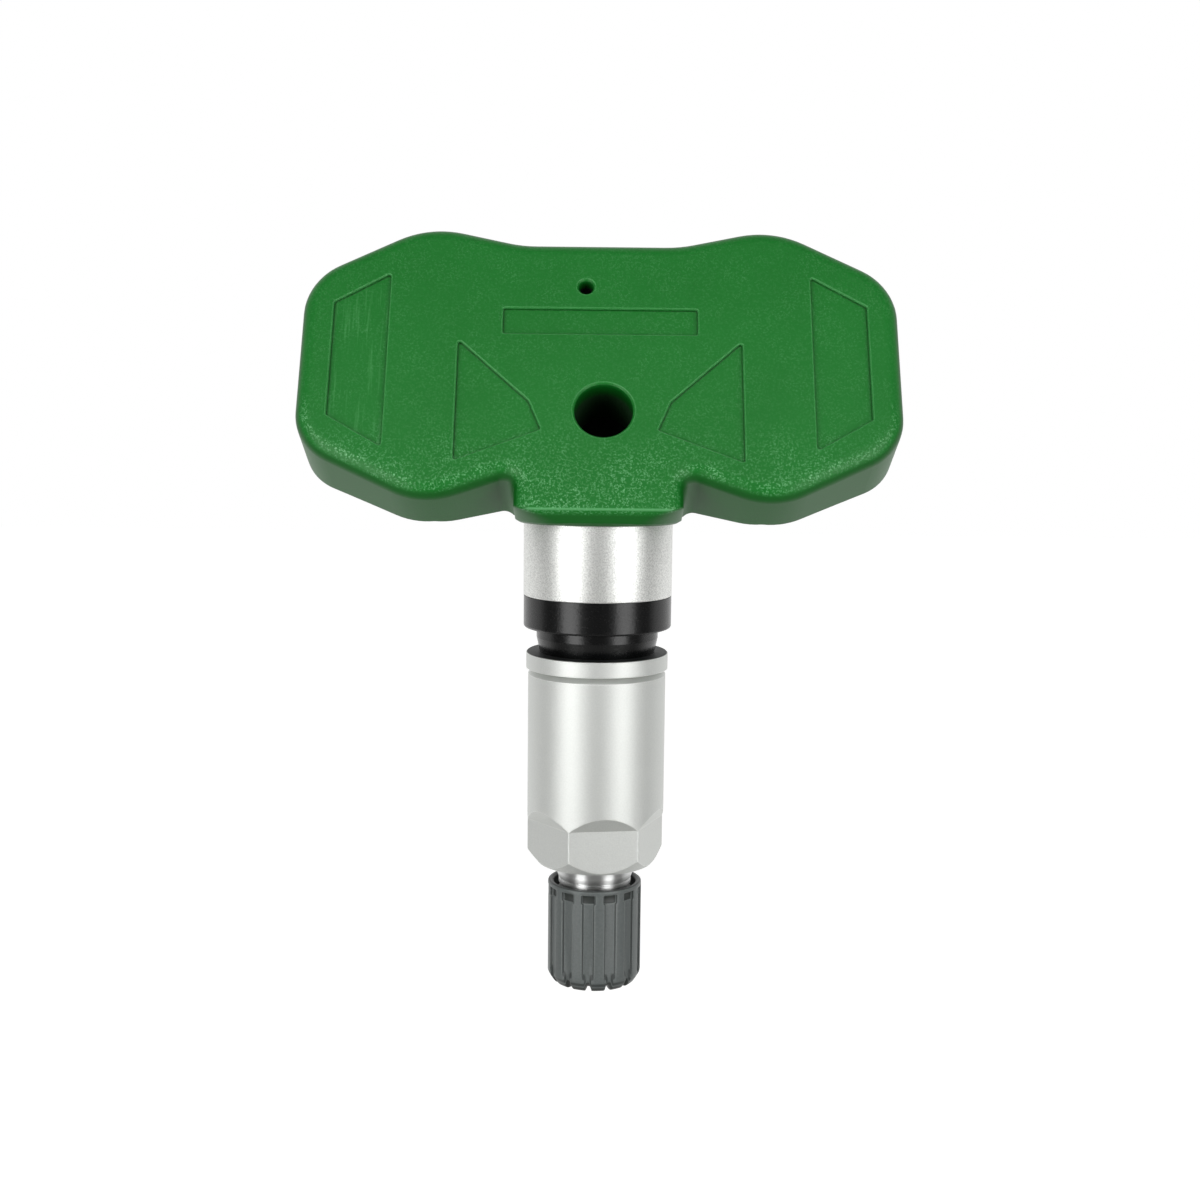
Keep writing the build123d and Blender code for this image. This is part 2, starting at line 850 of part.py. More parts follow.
def core_pin():
    """Pin that opens the valve when it is pressed, with the flange that the spring pushes on."""
    flange_low = pin_flange_z()
    flange_top = flange_low + core_pin_flange_thickness
    flange_r = core_barrel_bore_r - flange_clearance
    head_low = barrel_top_z() + core_seal_thickness + core_cup_base
    head_top = head_low + core_pin_head_length
    return turned([
        (0, tip_z + core_pin_recess),
        (core_pin_r, tip_z + core_pin_recess),
        (core_pin_r, flange_low),
        (flange_r, flange_low),
        (flange_r, flange_top),
        (core_pin_r, flange_top),
        (core_pin_r, head_low),
        (core_pin_head_r, head_low),
        (core_pin_head_r, head_top),
        (0, head_top),
    ])


def core_seal():
    """Rubber ring that closes the end of the barrel."""
    low = barrel_top_z()
    outer = core_chamber_r - core_cup_gap - core_cup_wall
    return turned([
        (core_pin_r, low),
        (outer, low),
        (outer, low + core_seal_thickness),
        (core_pin_r, low + core_seal_thickness),
    ])


def core_cup():
    """Brass cup that holds the rubber ring on the pin."""
    inner = core_chamber_r - core_cup_gap - core_cup_wall
    outer = core_chamber_r - core_cup_gap
    base = barrel_top_z() + core_seal_thickness
    top = base + core_cup_base
    return turned([
        (core_pin_r, base),
        (inner, base),
        (inner, base - core_cup_skirt),
        (outer, base - core_cup_skirt),
        (outer, top),
        (core_pin_r, top),
    ])


def core_spring():
    """Coil spring between the pin's flange and the barrel's end wall."""
    low = pin_flange_z() + core_pin_flange_thickness + spring_wire_r
    high = barrel_top_z() - core_barrel_end_wall - spring_wire_r
    radius = core_barrel_bore_r - flange_clearance - spring_wire_r
    path = Pos(0, 0, low) * Helix(pitch=(high - low) / spring_turns, height=high - low, radius=radius)
    profile = Plane(origin=path @ 0, z_dir=path % 0) * Circle(spring_wire_r)
    return sweep(profile, path)


# Valve cap
def cap_groove():
    """Cutter for one grip groove, down the side and round the cap's end."""
    outside = cap_r + cut_overrun
    top = cap_top_z - cap_groove_start
    floor_r = cap_r - cap_groove_depth
    profile = make_face(Polyline(
        (outside, top),
        (floor_r, top),
        (floor_r, cap_bottom_z + cap_end_chamfer_length + cap_end_notch / 2),
        (floor_r - cap_end_chamfer_depth, cap_bottom_z + cap_end_notch),
        (cap_end_dish_r, cap_bottom_z + cap_end_dish_depth),
        (cap_end_dish_r, cap_bottom_z - cut_overrun),
        (outside, cap_bottom_z - cut_overrun),
        close=True,
    ))
    return extrude(Plane.XZ * profile, cap_groove_width / 2, both=True)


def cap_pocket():
    """Cutter for the deeper pocket that ends a groove at its top."""
    low = cap_top_z - cap_groove_start
    return Pos(cap_r, 0, low + cap_pocket_height / 2) * Box(
        2 * cap_pocket_depth, cap_pocket_width, cap_pocket_height)


def valve_cap():
    """Moulded screw cap with grooved sides, closed at the outer end."""
    bore_r = thread_r + thread_clearance
    mouth_low = cap_top_z - cap_mouth_length
    step = cap_mouth_r - bore_r
    dish_z = cap_bottom_z + cap_end_dish_depth
    cap = turned([
        (cap_mouth_r, cap_top_z),
        (cap_mouth_r + cap_mouth_land, cap_top_z),
        (cap_r, cap_top_z - cap_mouth_chamfer_length),
        (cap_r, cap_bottom_z + cap_end_chamfer_length),
        (cap_r - cap_end_chamfer_depth, cap_bottom_z),
        (cap_end_dish_r + cap_end_dish_depth, cap_bottom_z),
        (cap_end_dish_r, dish_z),
        (0, dish_z),
        (0, cap_floor_z),
        (bore_r, cap_floor_z),
        (bore_r, mouth_low - step),
        (cap_mouth_r, mouth_low),
    ])
    cutters = [cap_groove(), cap_pocket()]
    for index in range(cap_grooves):
        turn = cap_groove_turn - 90 + index * 360 / cap_grooves
        cap -= [Rot(0, 0, turn) * cutter for cutter in cutters]
    return cap


def cap_seal():
    """Rubber ring in the cap's floor that seals on the stem's tip."""
    return turned([
        (cap_seal_bore_r, cap_floor_z),
        (thread_r, cap_floor_z),
        (thread_r, tip_z),
        (cap_seal_bore_r, tip_z),
    ])


def save(name, shape):
    export_step(shape, "parts/" + name + ".step")


os.makedirs("parts", exist_ok=True)
inner_pieces = electronics()
save("housing", housing())
save("potting", on_face(potting(inner_pieces)))
for name, piece in inner_pieces.items():
    save(name, on_face(piece))
save("valve_stem", valve_stem())
save("grommet", grommet())
save("washer", washer())
save("sleeve_nut", sleeve_nut())
save("core_body", core_body())
save("core_barrel", core_barrel())
save("core_gasket", core_gasket())
save("core_spring", core_spring())
save("core_pin", core_pin())
save("core_seal", core_seal())
save("core_cup", core_cup())
save("valve_cap", valve_cap())
save("cap_seal", cap_seal())
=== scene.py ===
from math import cos, pi, radians, sin, tan

import bpy
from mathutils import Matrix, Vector


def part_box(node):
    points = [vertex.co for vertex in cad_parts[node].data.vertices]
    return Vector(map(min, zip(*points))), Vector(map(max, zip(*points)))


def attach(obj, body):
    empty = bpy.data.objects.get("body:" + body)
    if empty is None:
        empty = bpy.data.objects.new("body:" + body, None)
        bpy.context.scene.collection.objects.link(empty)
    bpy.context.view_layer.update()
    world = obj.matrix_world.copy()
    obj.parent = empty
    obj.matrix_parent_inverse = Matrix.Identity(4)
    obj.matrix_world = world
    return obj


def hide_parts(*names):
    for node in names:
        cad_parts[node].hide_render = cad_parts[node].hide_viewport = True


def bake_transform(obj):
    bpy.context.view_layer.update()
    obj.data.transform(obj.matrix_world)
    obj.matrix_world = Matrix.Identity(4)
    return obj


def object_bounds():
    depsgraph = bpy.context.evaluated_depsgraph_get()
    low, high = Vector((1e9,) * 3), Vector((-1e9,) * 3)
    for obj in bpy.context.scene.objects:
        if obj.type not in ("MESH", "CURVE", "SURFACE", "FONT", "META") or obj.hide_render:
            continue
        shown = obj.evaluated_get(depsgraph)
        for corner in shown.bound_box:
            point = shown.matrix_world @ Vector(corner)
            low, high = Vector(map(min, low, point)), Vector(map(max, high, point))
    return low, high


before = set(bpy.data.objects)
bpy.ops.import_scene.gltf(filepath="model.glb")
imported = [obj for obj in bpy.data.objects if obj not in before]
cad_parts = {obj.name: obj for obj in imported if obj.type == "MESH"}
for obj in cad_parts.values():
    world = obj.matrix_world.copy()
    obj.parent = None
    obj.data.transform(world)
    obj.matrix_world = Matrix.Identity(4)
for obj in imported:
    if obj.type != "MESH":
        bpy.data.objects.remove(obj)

cad_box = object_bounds()


# Valve stem: one bar of aluminium alloy, turned to a collar, a bright neck and a threaded tip.
# Only the collar and the foot above it are bead-blasted. The housing is moulded round the foot,
# and everything else hangs on this piece.

# The part's sizes are given in millimetres, and this turns them into the scene's metres
MM = 0.001


def colour(code):
    """An sRGB hex value as the linear colour that a shader takes."""
    parts = [int(code[start:start + 2], 16) / 255 for start in (1, 3, 5)]
    return [c / 12.92 if c <= 0.04045 else ((c + 0.055) / 1.055) ** 2.4 for c in parts] + [1]


def add_node(tree, kind, settings=None, links=None):
    """Adds one shader node, sets its options and constant sockets, and feeds its other sockets."""
    node = tree.nodes.new(kind)
    for name, value in (settings or {}).items():
        if isinstance(name, str) and hasattr(node, name):
            setattr(node, name, value)
        else:
            node.inputs[name].default_value = value
    for name, source in (links or {}).items():
        tree.links.new(source, node.inputs[name])
    return node.outputs


def new_material(name):
    """An empty material, and the place on the part in metres that its patterns start from."""
    material = bpy.data.materials.new(name)
    material.use_nodes = True
    material.node_tree.nodes.clear()
    place = add_node(material.node_tree, "ShaderNodeTexCoord")["Object"]
    return material, material.node_tree, place


def per(size_mm):
    """Scale of a pattern whose real size is given in millimetres."""
    return 1 / (size_mm * MM)


def blasted_aluminium():
    # Bead-blasted aluminium: frosted, and its grain breaks every reflection into fine glitter.
    # Real blast pits are about 0.05 mm; they are drawn at 0.13 mm, or they wouldn't show.
    material, tree, place = new_material("bead_blasted_aluminium")
    pits = add_node(tree, "ShaderNodeTexNoise", {"Scale": per(0.13), "Detail": 1.0}, {"Vector": place})["Fac"]
    spread = add_node(tree, "ShaderNodeMapRange", {"From Min": 0.34, "From Max": 0.66}, {"Value": pits})[0]
    shade = add_node(tree, "ShaderNodeMix", {
        "data_type": "RGBA", 6: colour("#D6D7D4"), 7: colour("#F6F7F4")}, {0: spread})[2]
    rough = add_node(tree, "ShaderNodeMapRange", {"To Min": 0.5, "To Max": 0.38}, {"Value": spread})[0]
    bump = add_node(tree, "ShaderNodeBump", {"Strength": 0.55, "Distance": 0.03 * MM}, {"Height": pits})[0]
    surface = add_node(tree, "ShaderNodeBsdfPrincipled", {"Metallic": 1.0}, {
        "Base Color": shade, "Roughness": rough, "Normal": bump})[0]
    add_node(tree, "ShaderNodeOutputMaterial", links={"Surface": surface})
    return material


def tool_rings(tree, place, spacing_mm):
    """The fine uneven rings that a turning tool leaves round the part's axis."""
    height = add_node(tree, "ShaderNodeSeparateXYZ", links={0: place})[2]
    along = add_node(tree, "ShaderNodeCombineXYZ", links={"Z": height})[0]
    return add_node(tree, "ShaderNodeTexNoise", {
        "Scale": per(spacing_mm), "Detail": 2.0}, {"Vector": along})["Fac"]


def turned_aluminium():
    # Turned aluminium: bright, with the fine rings that the tool leaves, about 0.12 mm apart.
    # They draw every reflection out into a streak along the stem.
    material, tree, place = new_material("turned_aluminium")
    rings = tool_rings(tree, place, 0.12)
    shade = add_node(tree, "ShaderNodeMix", {
        "data_type": "RGBA", 6: colour("#D6D7D6"), 7: colour("#F0F1F0")}, {0: rings})[2]
    rough = add_node(tree, "ShaderNodeMapRange", {"To Min": 0.38, "To Max": 0.5}, {"Value": rings})[0]
    bump = add_node(tree, "ShaderNodeBump", {"Strength": 0.25, "Distance": 0.01 * MM}, {"Height": rings})[0]
    around = add_node(tree, "ShaderNodeTangent", {"direction_type": "RADIAL", "axis": "Z"})[0]
    surface = add_node(tree, "ShaderNodeBsdfPrincipled", {
        "Metallic": 1.0, "Anisotropic": 0.92, "Anisotropic Rotation": 0.25}, {
        "Base Color": shade, "Roughness": rough, "Normal": bump, "Tangent": around})[0]
    add_node(tree, "ShaderNodeOutputMaterial", links={"Surface": surface})
    return material


def new_piece(name, vertices_mm, faces, body, replaced):
    """A smooth-shaded mesh that stands for CAD nodes of its form, and rides on a body if one is named."""
    mesh = bpy.data.meshes.new(name)
    mesh.from_pydata([[value * MM for value in vertex] for vertex in vertices_mm], [], faces)
    mesh.shade_smooth()
    piece = bpy.data.objects.new(name, mesh)
    bpy.context.scene.collection.objects.link(piece)
    if body:
        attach(piece, body)
    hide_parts(*replaced)
    return piece


def rounded(corners):
    """Points of a profile of (radius, height, edge radius) corners. Each edge becomes a small arc,
    which takes up at most EDGE_SHARE of the sides beside it."""
    points = [Vector(corners[0][:2])]
    for index in range(1, len(corners) - 1):
        here = Vector(corners[index][:2])
        before = Vector(corners[index - 1][:2]) - here
        after = Vector(corners[index + 1][:2]) - here
        reach = min(corners[index][2] / tan(before.angle(after) / 2),
                    EDGE_SHARE * before.length, EDGE_SHARE * after.length)
        start, end = here + before.normalized() * reach, here + after.normalized() * reach
        for step in range(EDGE_STEPS + 1):
            t = step / EDGE_STEPS
            points.append(start * (1 - t) ** 2 + here * 2 * t * (1 - t) + end * t ** 2)
    return points + [Vector(corners[-1][:2])]


def ring_faces(rows, columns, closed):
    """Quads between rings of vertices. A closed set joins its last ring to the first; an open one
    gets a face over each end."""
    faces = []
    for row in range(rows if closed else rows - 1):
        for column in range(columns):
            a, b = row * columns, (row + 1) % rows * columns
            right = (column + 1) % columns
            faces.append((a + column, a + right, b + right, b + column))
    if not closed:
        faces.append(list(range(columns))[::-1])
        faces.append([(rows - 1) * columns + column for column in range(columns)])
    return faces


def at(r, angle, z):
    """A vertex at a distance from the axis, an angle round it and a height."""
    return r * cos(angle), r * sin(angle), z


def thread_share(z, angle):
    """How deep a thread's V is at a place, from 0 on a crest to 1 in a root."""
    phase = (z / THREAD_PITCH - angle / (2 * pi)) % 1
    return min(max((abs(2 * phase - 1) - CREST_SHARE) / FLANK_SHARE, 0), 1)


def thread_heights(start, end):
    """Heights along a threaded stretch, close enough together to draw its turns."""
    count = round(abs(end - start) / THREAD_PITCH * THREAD_RINGS)
    return [start + (end - start) * index / count for index in range(count + 1)]


EDGE_STEPS = 3
EDGE_SHARE = 0.45
ROUND_STEPS = 96
THREAD_PITCH = 0.794
THREAD_DEPTH = 0.45
THREAD_RINGS = 9
CREST_SHARE = 0.14
FLANK_SHARE = 0.72
THREAD_LEAD = 0.3
COLLAR_LENGTH = 7.47
FOOT_RADIUS = 5.0
SHANK_RADIUS = 4.1
THREAD_RADIUS = 3.85
AIR_BORE_RADIUS = 1.25
NECK_RADIUS = 3.68
NECK_GROOVE_DEPTH = 0.14
NECK_RING_RADIUS = 3.55
TIP_CHAMFER = 0.4
CORE_THREAD_RADIUS = 2.6
CORE_SEAT_RADIUS = 2.3
CORE_CHAMBER_RADIUS = 2.05

stem_low, stem_high = (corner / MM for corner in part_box("valve_stem"))
grommet_low, grommet_high = (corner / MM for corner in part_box("grommet"))
core_top = (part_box("core_body")[1] / MM).z
nut_bottom = (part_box("sleeve_nut")[0] / MM).z
cap_low, cap_high = (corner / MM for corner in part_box("valve_cap"))
neck_end = grommet_high.z + COLLAR_LENGTH
tip = stem_low.z
# Upper and lower end of each thread
upper_thread = (grommet_low.z - 0.3, nut_bottom + 0.5)
lower_thread = (cap_high.z - 1.9, tip + TIP_CHAMFER)


def stem_thread(z, angle):
    """Depth of the rolled threads, which fade in over one pitch at both ends of each, at the lower
    one from THREAD_LEAD on."""
    depth = 0
    for high, low in (upper_thread, lower_thread):
        if low <= z <= high:
            fade_in = min((high - z) / THREAD_PITCH, (z - low) / THREAD_PITCH + THREAD_LEAD, 1)
            depth = fade_in * THREAD_DEPTH * thread_share(z, angle)
    return depth


# Each corner of the three profiles is a radius, a height and the radius of its edge
outside = rounded([
    (AIR_BORE_RADIUS, stem_high.z, 0.1),
    (FOOT_RADIUS, stem_high.z, 0.1),
    (FOOT_RADIUS, neck_end, 0.1),
    (stem_high.x, neck_end, 0.1),
    (stem_high.x, grommet_high.z, 0.15),
    (SHANK_RADIUS, grommet_high.z, 0.1),
    (SHANK_RADIUS, grommet_low.z, 0.1),
    (THREAD_RADIUS, grommet_low.z, 0.1),
])
neck = rounded([
    (THREAD_RADIUS, upper_thread[1], 0.05),
    (THREAD_RADIUS, cap_high.z, 0.3),
    (NECK_RADIUS, cap_high.z - 0.5, 0.05),
    (NECK_RADIUS - NECK_GROOVE_DEPTH, cap_high.z - 0.52, 0.02),
    (NECK_RADIUS - NECK_GROOVE_DEPTH, cap_high.z - 0.64, 0.02),
    (NECK_RADIUS, cap_high.z - 0.66, 0.05),
    (NECK_RADIUS, cap_high.z - 1.06, 0.12),
    (NECK_RING_RADIUS, cap_high.z - 1.14, 0.03),
    (NECK_RING_RADIUS, cap_high.z - 1.56, 0.1),
    (THREAD_RADIUS, lower_thread[0], 0.1),
])
inside = rounded([
    (THREAD_RADIUS, lower_thread[1], 0.1),
    (THREAD_RADIUS - TIP_CHAMFER, tip, 0.08),
    (CORE_THREAD_RADIUS + 0.15, tip, 0.05),
    (CORE_THREAD_RADIUS, tip + 0.15, 0.05),
    (CORE_THREAD_RADIUS, core_top, 0.1),
    (CORE_SEAT_RADIUS, core_top, 0.1),
    (CORE_SEAT_RADIUS, core_top + 0.9, 0.1),
    (CORE_CHAMBER_RADIUS, core_top + 1.9, 0.1),
    (CORE_CHAMBER_RADIUS, core_top + 10.5, 0.1),
    (AIR_BORE_RADIUS, core_top + 11.3, 0.1),
])

upper_points = [Vector((THREAD_RADIUS, z)) for z in thread_heights(*upper_thread)]
lower_points = [Vector((THREAD_RADIUS, z)) for z in thread_heights(*lower_thread)]
stem_points = outside + upper_points + neck + lower_points + inside
stem_vertices = []
for r, z in stem_points:
    for column in range(ROUND_STEPS):
        angle = 2 * pi * column / ROUND_STEPS
        stem_vertices.append(at(r - stem_thread(z, angle), angle, z))
stem = new_piece("valve_stem_threaded", stem_vertices, ring_faces(len(stem_points), ROUND_STEPS, True),
                 "sensor", ["valve_stem"])
stem.data.materials.append(turned_aluminium())
stem.data.materials.append(blasted_aluminium())
# Blasted above the grommet and outside the shank; the rest stays as it was turned
shank_side = (SHANK_RADIUS + 0.5) * MM
for face in stem.data.polygons:
    above_grommet = face.center.z > (grommet_high.z - 0.01) * MM
    face.material_index = int(above_grommet and face.center.xy.length > shank_side)


# Valve core: a brass insert screwed into the tip, with its barrel, pin, cup and spring.
# The brass pieces are turned; the gasket and seal are moulded rubber, pressed on.
def give(names, material):
    """Gives CAD pieces their finish."""
    for name in names:
        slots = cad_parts[name].data.materials
        slots.clear()
        slots.append(material)


def turned_brass():
    # Turned brass: warm yellow, with fine tool rings and a slightly dulled surface.
    material, tree, place = new_material("turned_brass")
    rings = tool_rings(tree, place, 0.1)
    shade = add_node(tree, "ShaderNodeMix", {
        "data_type": "RGBA", 6: colour("#B98F45"), 7: colour("#DDB768")}, {0: rings})[2]
    rough = add_node(tree, "ShaderNodeMapRange", {"To Min": 0.2, "To Max": 0.36}, {"Value": rings})[0]
    bump = add_node(tree, "ShaderNodeBump", {"Strength": 0.2, "Distance": 0.01 * MM}, {"Height": rings})[0]
    surface = add_node(tree, "ShaderNodeBsdfPrincipled", {"Metallic": 1.0}, {
        "Base Color": shade, "Roughness": rough, "Normal": bump})[0]
    add_node(tree, "ShaderNodeOutputMaterial", links={"Surface": surface})
    return material


def drawn_steel():
    # Drawn steel: grey and smooth, with faint marks from the die that shift its shade and gloss.
    material, tree, place = new_material("drawn_steel")
    marks = add_node(tree, "ShaderNodeTexNoise", {"Scale": per(0.3), "Detail": 4.0}, {"Vector": place})["Fac"]
    shade = add_node(tree, "ShaderNodeMix", {
        "data_type": "RGBA", 6: colour("#A4A6A6"), 7: colour("#CFD0CE")}, {0: marks})[2]
    rough = add_node(tree, "ShaderNodeMapRange", {"To Min": 0.22, "To Max": 0.38}, {"Value": marks})[0]
    surface = add_node(tree, "ShaderNodeBsdfPrincipled", {"Metallic": 1.0}, {
        "Base Color": shade, "Roughness": rough})[0]
    add_node(tree, "ShaderNodeOutputMaterial", links={"Surface": surface})
    return material


def moulded_rubber(name, dark, light, grain_mm, roughness):
    # Moulded rubber: a satin skin that copies the mould's fine grain and spreads soft highlights.
    material, tree, place = new_material(name)
    grain = add_node(tree, "ShaderNodeTexNoise", {
        "Scale": per(grain_mm), "Detail": 3.0}, {"Vector": place})["Fac"]
    shade = add_node(tree, "ShaderNodeMix", {
        "data_type": "RGBA", 6: colour(dark), 7: colour(light)}, {0: grain})[2]
    rough = add_node(tree, "ShaderNodeMapRange", {
        "To Min": roughness - 0.08, "To Max": roughness + 0.1}, {"Value": grain})[0]
    bump = add_node(tree, "ShaderNodeBump", {"Strength": 0.3, "Distance": 0.03 * MM}, {"Height": grain})[0]
    surface = add_node(tree, "ShaderNodeBsdfPrincipled", {"IOR": 1.45}, {
        "Base Color": shade, "Roughness": rough, "Normal": bump})[0]
    add_node(tree, "ShaderNodeOutputMaterial", links={"Surface": surface})
    return material


SPRING_TURNS = 5
SPRING_WIRE_RADIUS = 0.13
WIRE_SIDES = 8
STEPS_PER_TURN = 24
spring_low, spring_high = (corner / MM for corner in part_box("core_spring"))
coil_radius = spring_high.x - SPRING_WIRE_RADIUS
coil_low, coil_high = spring_low.z + SPRING_WIRE_RADIUS, spring_high.z - SPRING_WIRE_RADIUS
spring_steps = SPRING_TURNS * STEPS_PER_TURN
spring_vertices = []
for step in range(spring_steps + 1):
    angle = 2 * pi * step / STEPS_PER_TURN
    middle = coil_low + (coil_high - coil_low) * step / spring_steps
    for side in range(WIRE_SIDES):
        turn = 2 * pi * side / WIRE_SIDES
        r = coil_radius + SPRING_WIRE_RADIUS * cos(turn)
        spring_vertices.append(at(r, angle, middle + SPRING_WIRE_RADIUS * sin(turn)))
spring = new_piece("core_spring_wound", spring_vertices, ring_faces(spring_steps + 1, WIRE_SIDES, False),
                   None, ["core_spring"])
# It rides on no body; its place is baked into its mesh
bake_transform(spring)

steel = drawn_steel()
spring.data.materials.append(steel)
seal_rubber = moulded_rubber("nitrile_rubber", "#1C1D1E", "#2A2B2C", grain_mm=0.2, roughness=0.5)
give(["core_body", "core_barrel", "core_pin", "core_cup"], turned_brass())
give(["core_gasket", "core_seal", "cap_seal"], seal_rubber)


# Electronics: a circuit board with the sensor, radio, battery, coil and antenna on it, soldered,
# and laid into the back of the housing before the resin is poured over them.
def plain_finish(name, dark, light, size_mm, metallic, roughness):
    # A small part's own surface, with the faint unevenness in shade and gloss that keeps it from
    # looking flat. The look of each comes from the colours, metal or not, and the roughness given.
    material, tree, place = new_material(name)
    noise = add_node(tree, "ShaderNodeTexNoise", {
        "Scale": per(size_mm), "Detail": 3.0}, {"Vector": place})["Fac"]
    shade = add_node(tree, "ShaderNodeMix", {
        "data_type": "RGBA", 6: colour(dark), 7: colour(light)}, {0: noise})[2]
    rough = add_node(tree, "ShaderNodeMapRange", {
        "To Min": roughness - 0.06, "To Max": roughness + 0.08}, {"Value": noise})[0]
    bump = add_node(tree, "ShaderNodeBump", {"Strength": 0.3, "Distance": 0.02 * MM}, {"Height": noise})[0]
    surface = add_node(tree, "ShaderNodeBsdfPrincipled", {"Metallic": metallic}, {
        "Base Color": shade, "Roughness": rough, "Normal": bump})[0]
    add_node(tree, "ShaderNodeOutputMaterial", links={"Surface": surface})
    return material


# A finish's numbers are the size of its unevenness, how metallic it is, and its roughness
give(["circuit_board"], plain_finish("solder_masked_laminate", "#1F5A30", "#2C7040", 1.5, 0.0, 0.3))
give(["battery_cell", "crystal", "motion_switch"], steel)
give(["battery_tab_positive", "battery_tab_negative"],
     plain_finish("rolled_nickel", "#A9A79E", "#C6C3B8", 0.6, 1.0, 0.3))
give(["sensor_chip", "radio_chip"], plain_finish("moulded_epoxy", "#1D1E20", "#2B2C2E", 0.2, 0.0, 0.55))
give(["port_seal"], moulded_rubber("silicone_rubber", "#2A2B2B", "#3A3B3B", grain_mm=0.2, roughness=0.45))
give(["coil_core"], plain_finish("sintered_ferrite", "#2F2E30", "#434244", 0.15, 0.0, 0.5))
give(["coil_winding"], plain_finish("enamelled_copper", "#8E4F22", "#B8713B", 0.1, 1.0, 0.35))
give(["chip_capacitors"], plain_finish("fired_ceramic", "#A3875F", "#C2A57C", 0.3, 0.0, 0.5))
give(["antenna"], plain_finish("tinned_copper_wire", "#B4B3AE", "#D2D0CA", 0.3, 1.0, 0.3))


# Housing: one injection moulding in glass-filled nylon, green right through, moulded round
# the foot of the stem. Spark-eroded grain covers its face, with painted glints where it would sparkle in
# light.

# The face's lean and the place of its foot. Places on the face are given across it, then up it.
FACE_TILT = radians(29.0)
FACE_ORIGIN = (0, -9.0, 12.45)
WELL_PLACE = (0.4, 10.45)
WELL_RADIUS = 2.86
WELL_DEPTH = 7.2
SCUFFED_RECESS = ((-26.3, -20.85), (6.35, 25.5))


def region(tree, strength, *limits):
    """A mask that reaches its strength where every limit is met. A limit is another mask, or a
    distance with the two places in millimetres at which it begins to be met and is met in full."""
    mask = strength
    for limit in limits:
        if isinstance(limit, tuple):
            distance, begins, full = limit
            limit = add_node(tree, "ShaderNodeMapRange", {
                "From Min": begins * MM, "From Max": full * MM}, {"Value": distance})[0]
        if mask is strength:
            mask = add_node(tree, "ShaderNodeMath", {"operation": "MULTIPLY", 1: strength}, {0: limit})[0]
        else:
            mask = add_node(tree, "ShaderNodeMath", {"operation": "MULTIPLY"}, {0: mask, 1: limit})[0]
    return mask


def softened_edge(tree, radius_mm):
    """A softened normal, and a mask that rises on edges as sharp as the radius or sharper."""
    bevel = add_node(tree, "ShaderNodeBevel", {"Radius": radius_mm * MM})[0]
    flat = add_node(tree, "ShaderNodeNewGeometry")["Normal"]
    along = add_node(tree, "ShaderNodeVectorMath", {"operation": "DOT_PRODUCT"}, {0: bevel, 1: flat})["Value"]
    edge = add_node(tree, "ShaderNodeMapRange", {"From Min": 0.995, "From Max": 0.93}, {"Value": along})[0]
    return bevel, edge


